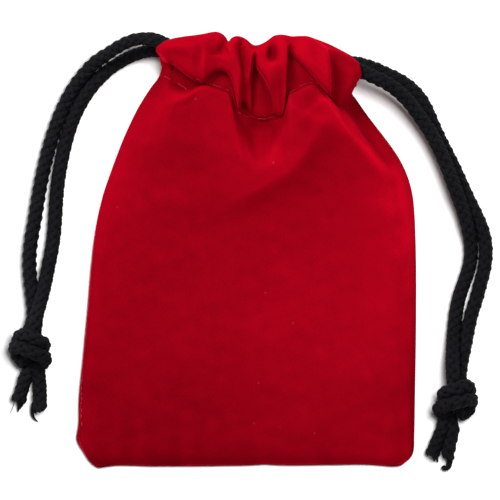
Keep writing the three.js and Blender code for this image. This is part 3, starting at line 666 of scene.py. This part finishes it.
RIGHT_UPPER_TURN = [(-2, -20, 4.6, .95), (-2, -12, 4.4, .85), (-2.5, -3, 4.2, .8), (-1, 6, 3.4, .8), (5, 9, 2.4, .85), (10.5, 3, 2.0, .9), (13.5, -5, 2.4, .95),
                    (14, -11.8, 4.2, 1), (9.5, -14, 6.4, 1), (2.5, -11.6, 7.3, 1), (-5, -9, 6.7, 1), (-11.4, -5.6, 4.6, 1), (-10.5, 1, 2.4, .9), (-9.5, 9, 2.0, .9), (-10.5, 18, 2.1, 1)]
RIGHT_LOWER_TURN = [(5, -20, 2.2, .95), (4.5, -12, 2.8, .85), (4, -3, 3.6, .8), (3.5, 6, 3.6, .8), (8, 14.6, 2.3, .95), (13.5, 9.6, 2.0, .95), (16.2, 2.6, 2.7, .95),
                    (15.8, -1.6, 4.5, 1), (9.5, 0, 6.8, 1), (1, 2.2, 7.4, 1), (-8, 5, 6.7, 1), (-16, 8, 4.4, 1), (-13.5, 13.6, 2.4, .9), (-6, 17, 2.0, .95)]


def knotted(free, centre, turn, tail):
    k = np.array(turn, float)
    k[:, :2] += centre
    full = lambda rows: np.concatenate([np.array(rows, float), np.ones((len(rows), 1))], 1)
    ctl = np.concatenate([full(free), k, full(tail)])
    mm = ctl[:, :3] * np.array([0.2262, 0.2262, 1.0])
    d = np.concatenate([[0], np.cumsum(np.linalg.norm(np.diff(mm, axis=0), axis=1) ** 0.7)])
    q = np.linspace(0, d[-1], 460)
    path = blur(hermite(d, ctl, q), 3, 0)
    path[:, 2] = np.maximum(path[:, 2], LOW * np.clip(path[:, 3], 0.8, 1))
    return world(path[:, :3]), path[:, 3]


LEFT_C, RIGHT_C = (30.5, 348.5), (455, 400)
LT_OUT = [(27, 374, LOW + .4), (23.4, 385, LOW), (20.6, 394, LOW), (18.6, 400.6, LOW)]
LT_IN = [(38.8, 376, LOW + .4), (39.8, 387, LOW), (40, 397, LOW), (40.2, 411, LOW)]
RT_IN = [(443, 428, LOW + .4), (438.8, 438, LOW), (435, 447, LOW), (431.8, 456, LOW)]
RT_OUT = [(452.6, 430, LOW + .4), (450.4, 440, LOW), (448.6, 449, LOW), (446.6, 457, LOW)]
# Loose locks at the cut ends: points, then thickness at root and tip.
LOCKS = {
    "left_outer": [([(19.5, 397, 1.6), (19.2, 405, 1.2), (18, 411.8, .6)], .85, .12), ([(23, 398, 1.5), (22.2, 405, 1.1), (19.6, 409.4, .6)], .5, .1),
                   ([(15, 399, 1.0), (12.6, 408, .5), (10, 413.5, .4)], .09, .05)],
    "left_inner": [([(35, 403, 1.6), (33, 409.6, 1.3), (32.6, 414, 1.0), (34.4, 418.2, .8), (38, 421.7, .5)], .75, .1)],
    "right_inner": [([(433, 455, 1.3), (434.6, 461.4, .7)], .4, .12), ([(436.4, 456, 1.3), (438, 462.2, .7)], .5, .12), ([(428.4, 452, 1.2), (427.6, 456.4, .6)], .3, .1)],
    "right_outer": [([(450.4, 449, 1.6), (449.8, 457, 1.4), (449.6, 463, 1.2), (448, 467.4, 1.1), (444.8, 468.4, 1.0), (442.4, 466.2, .9)], .95, .5)],
}

strands = {}
for name, free, centre, turn, tail, phase, cut in (
        ("left_outer", LEFT_OUTER, LEFT_C, LEFT_LOWER_TURN, LT_OUT, 0.3, (-0.22, 0.97)), ("left_inner", LEFT_INNER, LEFT_C, LEFT_UPPER_TURN, LT_IN, 1.1, (0.45, 0.89)),
        ("right_inner", RIGHT_INNER, RIGHT_C, RIGHT_UPPER_TURN, RT_IN, 0.7, (-0.65, 0.76)), ("right_outer", RIGHT_OUTER, RIGHT_C, RIGHT_LOWER_TURN, RT_OUT, 1.9, (-0.67, 0.74))):
    path, sizes = knotted(free, np.array(centre), turn, tail)
    if name.startswith("left"):
        # drawn a little thinner where the pair bends away from the casing
        px = path[:, 0] / UNIT + OX
        sizes = sizes * (1 - 0.09 * smoothstep(100, 112, px) * (1 - smoothstep(142, 154, px)))
    b, core = Builder(), Builder()
    P, L = braid(b, core, path, sizes, cut, phase)
    fray(core, P[-1], (cut[0], -cut[1], 0), 7, 0.0014, int(phase * 100))
    for pts, thick, thin in LOCKS[name]:
        wisp(core, pts, thick, thin)
    strands[name] = (b.obj(name + "_braid"), P, L, core.obj(name + "_core"))

# ---------------------------------------------------------------- the cords inside the casings
def casing_cord(name, front_pts, turn_pts, back_pts, phase):
    ctl = np.array(front_pts + turn_pts + back_pts, float)
    mm = ctl * np.array([0.2262, 0.2262, 1.0])
    d = np.concatenate([[0], np.cumsum(np.linalg.norm(np.diff(mm, axis=0), axis=1))])
    path = world(blur(hermite(d, ctl, np.linspace(0, d[-1], 300)), 3, 0))
    b = Builder()
    braid(b, b, path, phase=phase, size=0.74)
    return b.obj(name)


left_in = casing_cord("left_casing_braid",
                      [(174, 49.4, 10.4), (184, 55, 11.4), (196, 60, 11.9), (210, 62, 12.0), (226, 62, 12.0), (244, 63, 11.8), (258, 64, 11.1), (268, 63, 11.5), (282, 61, 12.0), (296, 61, 12.0)],
                      [(307, 61, 11.6), (312, 61, 8.0), (307, 61, 4.6)],
                      [(296, 61, 3.4), (280, 66, 3.3), (262, 68, 3.3), (244, 68, 3.3), (226, 66, 3.3), (210, 64, 3.3), (196, 60, 3.4), (184, 57, 3.8), (173, 54.2, 4.2)], 0.2)
right_in = casing_cord("right_casing_braid",
                       [(349, 66, 9.6), (338, 61, 11.0), (324, 53.6, 12.0), (308, 49.2, 12.1), (292, 48.4, 12.1), (276, 50, 11.8), (258, 54.6, 11.5), (240, 51, 12.0), (222, 47.4, 11.6), (208, 47.4, 12.0)],
                       [(197, 45.6, 11.4), (192, 45, 8.0), (197, 45.6, 4.6)],
                       [(208, 47, 3.4), (222, 50, 3.3), (240, 54, 3.3), (258, 56, 3.3), (276, 53, 3.3), (292, 48, 3.3), (308, 47, 3.3), (324, 52, 3.4), (338, 58.6, 3.8), (349, 62.4, 4.2)], 1.4)

# ---------------------------------------------------------------- stitches
from mathutils.bvhtree import BVHTree


def tree_of(ob):
    me = ob.data
    return BVHTree.FromPolygons([v.co[:] for v in me.vertices], [p.vertices[:] for p in me.polygons])


front_tree, back_tree = tree_of(front), tree_of(back)


def on_front(x, y, lift):
    p = world([x, y, 0.0])
    hit = front_tree.ray_cast((p[0], p[1], 0.08), (0, 0, -1))
    z = hit[0][2] if hit[0] is not None else 0.012
    q = world([x, y, z * 1000])
    hit = front_tree.ray_cast((q[0], q[1], 0.08), (0, 0, -1))
    z = hit[0][2] if hit[0] is not None else z
    return np.array([q[0], q[1], z + lift])


def stitch(build, pts, r=0.00008):
    """One stitch: sinks in at both ends."""
    pts = np.asarray(pts)
    n = len(pts)
    q = np.linspace(0, 1, n)
    pts = pts + np.array([0, 0, 1.0]) * (np.sin(math.pi * q) ** 0.5 * 0.00016 - 0.00012)[:, None]
    V, Fq, caps, uv = sweep(pts, r, r, np.broadcast_to(np.array([0, 0, 1.0]), pts.shape) + 1e-6, 6)
    uv[:, 1] *= 10
    build.add(V, Fq, caps, uv)


SEEN = [((164, 76.2), (170.8, 79.9)), ((178, 83.3), (186.5, 89.4)), ((196.5, 78.5), (202, 82.2)), ((208.5, 83.6), (221.3, 87.9)), ((226.5, 89.2), (229.4, 91.6)),
        ((238.4, 112.4), (248.4, 117.6)), ((258.5, 118.9), (266, 119.4)), ((286.8, 94.6), (296.6, 88.8)), ((299.7, 86.2), (313, 82.6))]
sb = Builder()
for (xa, ya), (xb, yb) in SEEN:
    n = 9
    bulge = 0.8 if xa > 290 else 0.3
    pts = [on_front(xa + (xb - xa) * t, ya + (yb - ya) * t - bulge * math.sin(math.pi * t), 0.00012) for t in np.linspace(0, 1, n)]
    stitch(sb, pts)
front_stitches = sb.obj("front_stitch_thread")
# the same row under the back panel, and where it shows inside
bb = Builder()
srow = int(round(bparam[18] * (B.shape[0] - 1)))
line = BACK[srow]
dl = np.concatenate([[0], np.cumsum(np.linalg.norm(np.diff(line, axis=0), axis=1))])
pos = 0.002
while pos + 0.0024 < dl[-1]:
    q = np.linspace(pos, pos + 0.0021, 8)
    pts = hermite(dl, line, q)
    pts[:, 2] -= 0.00008
    n = len(pts)
    V, Fq, caps, uv = sweep(pts, 0.00017, 0.00017, np.broadcast_to(np.array([0, 0, 1.0]), pts.shape) + 1e-6, 6)
    bb.add(V, Fq, caps, uv)
    pos += 0.0030
back_stitches = bb.obj("back_stitch_thread")
# glints of the seam's thread along the left side
gb = Builder()
g = np.random.default_rng(5)
y = 379.0
while y < 426:
    ln = g.uniform(2.0, 4.6)
    x0 = 80.9 + 0.4 * math.sin(y)
    pts = np.array([on_front(x0 + 0.6 + 0.2 * t, y + ln * t, 0.00006 + 0.00016 * math.sin(math.pi * t)) for t in np.linspace(0, 1, 6)])
    V, Fq, caps, uv = sweep(pts, 0.00011, 0.00011, np.broadcast_to(np.array([0, 0, 1.0]), pts.shape) + 1e-6, 5)
    gb.add(V, Fq, caps, uv)
    y += ln + g.uniform(1.5, 4.5)
seam_thread = gb.obj("left_seam_thread")


# ---------------------------------------------------------------- materials
def node_tree(name):
    m = bpy.data.materials.new(name)
    m.use_nodes = True
    nt = m.node_tree
    nt.nodes.clear()
    out = nt.nodes.new("ShaderNodeOutputMaterial")
    p = nt.nodes.new("ShaderNodeBsdfPrincipled")
    nt.links.new(p.outputs[0], out.inputs[0])
    return m, nt, p


def N(nt, kind, **values):
    n = nt.nodes.new(kind)
    for k, v in values.items():
        if k in n.inputs:
            n.inputs[k].default_value = v
        else:
            setattr(n, k, v)
    return n


def ramp(nt, stops, interpolation="LINEAR"):
    r = nt.nodes.new("ShaderNodeValToRGB")
    r.color_ramp.interpolation = interpolation
    e = r.color_ramp.elements
    while len(e) < len(stops):
        e.new(0.5)
    for el, (pos, col) in zip(e, stops):
        el.position = pos
        el.color = (*col, 1) if len(col) == 3 else col
    return r


RED = (0.345, 0.0006, 0.0085)
# direction and strength of the painted light slant in the velvet's colour
PAINTED_LIGHT_SLANT = (7.0, 0.6, 0.0)


def velvet_material():
    m, nt, p = node_tree("velvet")
    L = nt.links.new
    co = N(nt, "ShaderNodeTexCoord")
    big = N(nt, "ShaderNodeTexNoise", Scale=48.0, Detail=2.0, Roughness=0.5)
    mid = N(nt, "ShaderNodeTexNoise", Scale=420.0, Detail=2.0, Roughness=0.6)
    fine = N(nt, "ShaderNodeTexNoise", Scale=2600.0, Detail=2.0, Roughness=0.65)
    for t in (big, fine, mid):
        L(co.outputs["Object"], t.inputs["Vector"])
    a = N(nt, "ShaderNodeMix", data_type="RGBA")
    a.inputs["Factor"].default_value = 0.45
    L(big.outputs["Fac"], a.inputs["A"]); L(mid.outputs["Fac"], a.inputs["B"])
    b = N(nt, "ShaderNodeMix", data_type="RGBA")
    b.inputs["Factor"].default_value = 0.45
    L(a.outputs["Result"], b.inputs["A"]); L(fine.outputs["Fac"], b.inputs["B"])
    # painted light: the colour grows lighter towards the right side of the pouch and a little towards the top
    painted_slant = N(nt, "ShaderNodeVectorMath", operation="DOT_PRODUCT")
    L(co.outputs["Object"], painted_slant.inputs[0])
    painted_slant.inputs[1].default_value = PAINTED_LIGHT_SLANT
    add = N(nt, "ShaderNodeMath", operation="ADD")
    L(b.outputs["Result"], add.inputs[0]); L(painted_slant.outputs["Value"], add.inputs[1])
    # painted highlight on fold crests and along the sides, painted shade in hollows and on the casing, read from the
    # panels' point attribute
    painted_fold_light_node = N(nt, "ShaderNodeAttribute", attribute_name="painted_fold_light")
    sum_ = N(nt, "ShaderNodeMath", operation="ADD")
    L(add.outputs[0], sum_.inputs[0]); L(painted_fold_light_node.outputs["Fac"], sum_.inputs[1])
    half = N(nt, "ShaderNodeMath", operation="MULTIPLY_ADD")
    half.inputs[1].default_value = 0.5; half.inputs[2].default_value = 0.25
    r = ramp(nt, [(k, tuple(c * f for c in RED)) for k, f in ((0.0, 0.36), (0.25, 0.62), (0.5, 1.0), (0.75, 1.42), (1.0, 2.4))])
    L(sum_.outputs[0], half.inputs[0]); L(half.outputs[0], r.inputs["Fac"])
    # scattered pale lint
    lint = N(nt, "ShaderNodeTexVoronoi", Scale=170.0, Randomness=1.0)
    L(co.outputs["Object"], lint.inputs["Vector"])
    lr = ramp(nt, [(0.0, (1, 1, 1)), (0.03, (0.7, 0.7, 0.7)), (0.06, (0, 0, 0))])
    L(lint.outputs["Distance"], lr.inputs["Fac"])
    few = N(nt, "ShaderNodeTexNoise", Scale=60.0, Detail=1.0)
    L(co.outputs["Object"], few.inputs["Vector"])
    fr = ramp(nt, [(0.56, (0, 0, 0)), (0.66, (0.35, 0.35, 0.35))])
    L(few.outputs["Fac"], fr.inputs["Fac"])
    mul = N(nt, "ShaderNodeMath", operation="MULTIPLY")
    L(lr.outputs["Color"], mul.inputs[0]); L(fr.outputs["Color"], mul.inputs[1])
    c = N(nt, "ShaderNodeMix", data_type="RGBA")
    L(mul.outputs[0], c.inputs["Factor"]); L(r.outputs["Color"], c.inputs["A"])
    c.inputs["B"].default_value = (0.62, 0.05, 0.08, 1)
    # painted shade: the colour is darkened in folds and hollows, where the ambient occlusion is low
    ao = N(nt, "ShaderNodeAmbientOcclusion", samples=8, Distance=0.009)
    crease_shade_ramp = ramp(nt, [(0.25, (0.62, 0.62, 0.62)), (0.85, (1, 1, 1))])
    L(ao.outputs["AO"], crease_shade_ramp.inputs["Fac"])
    painted_crease_shade = N(nt, "ShaderNodeMix", data_type="RGBA", blend_type="MULTIPLY")
    painted_crease_shade.inputs["Factor"].default_value = 1.0
    L(c.outputs["Result"], painted_crease_shade.inputs["A"]); L(crease_shade_ramp.outputs["Color"], painted_crease_shade.inputs["B"])
    L(painted_crease_shade.outputs["Result"], p.inputs["Base Color"])
    p.inputs["Roughness"].default_value = 1.0
    p.inputs["Specular IOR Level"].default_value = 0.0
    p.inputs["Sheen Weight"].default_value = 0.9
    p.inputs["Sheen Roughness"].default_value = 0.30
    p.inputs["Sheen Tint"].default_value = (0.9, 0.004, 0.04, 1)
    bump = N(nt, "ShaderNodeBump", Strength=0.16, Distance=0.0002)
    L(fine.outputs["Fac"], bump.inputs["Height"])
    L(bump.outputs[0], p.inputs["Normal"])
    return m


def braid_material():
    m, nt, p = node_tree("braid")
    L = nt.links.new
    co = N(nt, "ShaderNodeTexCoord")
    uv = N(nt, "ShaderNodeUVMap", uv_map="flat")
    mp = N(nt, "ShaderNodeMapping")
    mp.inputs["Scale"].default_value = (9.0, 3.0, 1.0)
    L(uv.outputs[0], mp.inputs["Vector"])
    fib = N(nt, "ShaderNodeTexNoise", Scale=4.0, Detail=3.0, Roughness=0.6)
    L(mp.outputs[0], fib.inputs["Vector"])
    n = N(nt, "ShaderNodeTexNoise", Scale=420.0, Detail=3.0)
    L(co.outputs["Object"], n.inputs["Vector"])
    mx = N(nt, "ShaderNodeMix", data_type="RGBA")
    mx.inputs["Factor"].default_value = 0.5
    L(n.outputs["Fac"], mx.inputs["A"]); L(fib.outputs["Fac"], mx.inputs["B"])
    r = ramp(nt, [(0.32, (0.0036, 0.0036, 0.0050)), (0.55, (0.0068, 0.0068, 0.0094)), (0.75, (0.0128, 0.0128, 0.0168))])
    L(mx.outputs["Result"], r.inputs["Fac"])
    L(r.outputs["Color"], p.inputs["Base Color"])
    p.inputs["Roughness"].default_value = 0.85
    p.inputs["Specular IOR Level"].default_value = 0.12
    bump = N(nt, "ShaderNodeBump", Strength=0.4, Distance=0.0002)
    L(fib.outputs["Fac"], bump.inputs["Height"])
    L(bump.outputs[0], p.inputs["Normal"])
    return m


def thread_material():
    m, nt, p = node_tree("thread")
    L = nt.links.new
    co = N(nt, "ShaderNodeTexCoord")
    n = N(nt, "ShaderNodeTexNoise", Scale=900.0, Detail=2.0)
    L(co.outputs["Object"], n.inputs["Vector"])
    r = ramp(nt, [(0.35, (0.44, 0.008, 0.026)), (0.65, (0.56, 0.018, 0.044))])
    L(n.outputs["Fac"], r.inputs["Fac"])
    L(r.outputs["Color"], p.inputs["Base Color"])
    p.inputs["Roughness"].default_value = 0.6
    p.inputs["Specular IOR Level"].default_value = 0.08
    return m


VELVET, BRAID, THREAD = velvet_material(), braid_material(), thread_material()
for ob in (front, back):
    ob.data.materials.append(VELVET)
for ob in [left_in, right_in] + [o for s in strands.values() for o in (s[0], s[3])]:
    ob.data.materials.append(BRAID)
for ob in (front_stitches, back_stitches, seam_thread):
    ob.data.materials.append(THREAD)

# ---------------------------------------------------------------- the pieces under one root, and the model's own parts hidden
for ob in (front, back, left_in, right_in, front_stitches, back_stitches, seam_thread, *[o for s in strands.values() for o in (s[0], s[3])]):
    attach(ob, "root")
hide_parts("front_panel")
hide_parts("back_panel")
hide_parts("front_casing_stitching")
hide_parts("back_casing_stitching")
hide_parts("left_cord_in_casing")
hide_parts("right_cord_in_casing")
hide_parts("left_cord_outer_strand", "left_cord_outer_tail", "left_cord_knot")
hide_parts("left_cord_inner_strand", "left_cord_inner_tail", "left_cord_knot")
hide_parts("right_cord_outer_strand", "right_cord_outer_tail", "right_cord_knot")
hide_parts("right_cord_inner_strand", "right_cord_inner_tail", "right_cord_knot")

# ---------------------------------------------------------------- floor, lights, camera
bpy.ops.mesh.primitive_plane_add(size=3.0, location=(0, 0, -0.0001))
floor = bpy.context.object
floor.name = "floor"
fm, nt, p = node_tree("floor")
p.inputs["Roughness"].default_value = 0.9
p.inputs["Specular IOR Level"].default_value = 0.0
co = N(nt, "ShaderNodeTexCoord")
n = N(nt, "ShaderNodeTexNoise", Scale=8.0)
nt.links.new(co.outputs["Object"], n.inputs["Vector"])
r = ramp(nt, [(0.0, (0.93, 0.93, 0.93)), (1.0, (0.95, 0.95, 0.95))])
nt.links.new(n.outputs["Fac"], r.inputs["Fac"])
nt.links.new(r.outputs["Color"], p.inputs["Base Color"])
floor.data.materials.append(fm)


def area(name, loc, target, size, power, colour=(1, 1, 1)):
    l = bpy.data.lights.new(name, "AREA")
    l.shape = "SQUARE"; l.size = size; l.energy = power; l.color = colour
    o = bpy.data.objects.new(name, l)
    bpy.context.scene.collection.objects.link(o)
    o.location = loc
    d = np.array(target, float) - np.array(loc, float)
    from mathutils import Vector
    o.rotation_euler = Vector(d).to_track_quat("-Z", "Y").to_euler()
    return o


KEY_POWER = 2.6


def shines_on(light, name, objects):
    """The light falls only on these objects (the others still cast its shadow)."""
    c = bpy.data.collections.new(name)
    for o in objects:
        c.objects.link(o)
    light.light_linking.receiver_collection = c


KEY = np.array([-0.38, 0.52, 0.74])
pieces = [o for o in bpy.data.objects if o.type == "MESH" and o is not floor]
key = area("key", tuple(KEY / np.linalg.norm(KEY) * 0.62), (0, 0, 0.006), 0.16, KEY_POWER)
soft = area("softbox", (0.06, 0.12, 0.70), (0, 0, 0), 0.9, 2.7)
rim_right = area("rim_right", (0.80, -0.04, 0.14), (0, 0, 0.006), 0.26, 0.6)
rim_left = area("rim_left", (-0.70, 0.42, 0.16), (0, 0, 0.006), 0.26, 1.3)
sweep_light = area("floor_key", (0.23, 0.23, 0.93), (0, 0, 0), 0.40, 13.0)
shines_on(key, "lit_by_key", pieces)
shines_on(soft, "lit_by_softbox", pieces)
shines_on(rim_right, "lit_by_rim_right", pieces)
shines_on(rim_left, "lit_by_rim_left", pieces)
shines_on(sweep_light, "lit_by_floor_key", [floor])
low = bpy.data.collections.new("shades_floor_key")
for o in pieces:
    if o is not front:
        low.objects.link(o)
sweep_light.light_linking.blocker_collection = low
world_ = bpy.data.worlds.new("studio")
bpy.context.scene.world = world_
world_.use_nodes = True
bg = world_.node_tree.nodes.get("Background")
bg.inputs["Color"].default_value = (1, 1, 1, 1)
bg.inputs["Strength"].default_value = 0.18

bpy.context.scene.view_settings.view_transform = "Standard"

cam = bpy.data.cameras.new("camera")
cam.lens = LENS
cam.sensor_width = SENSOR
cam.clip_end = 20
co_ = bpy.data.objects.new("camera", cam)
bpy.context.scene.collection.objects.link(co_)
co_.location = ((CX - OX) * UNIT, (OY - CY) * UNIT, DIST)
bpy.context.scene.camera = co_
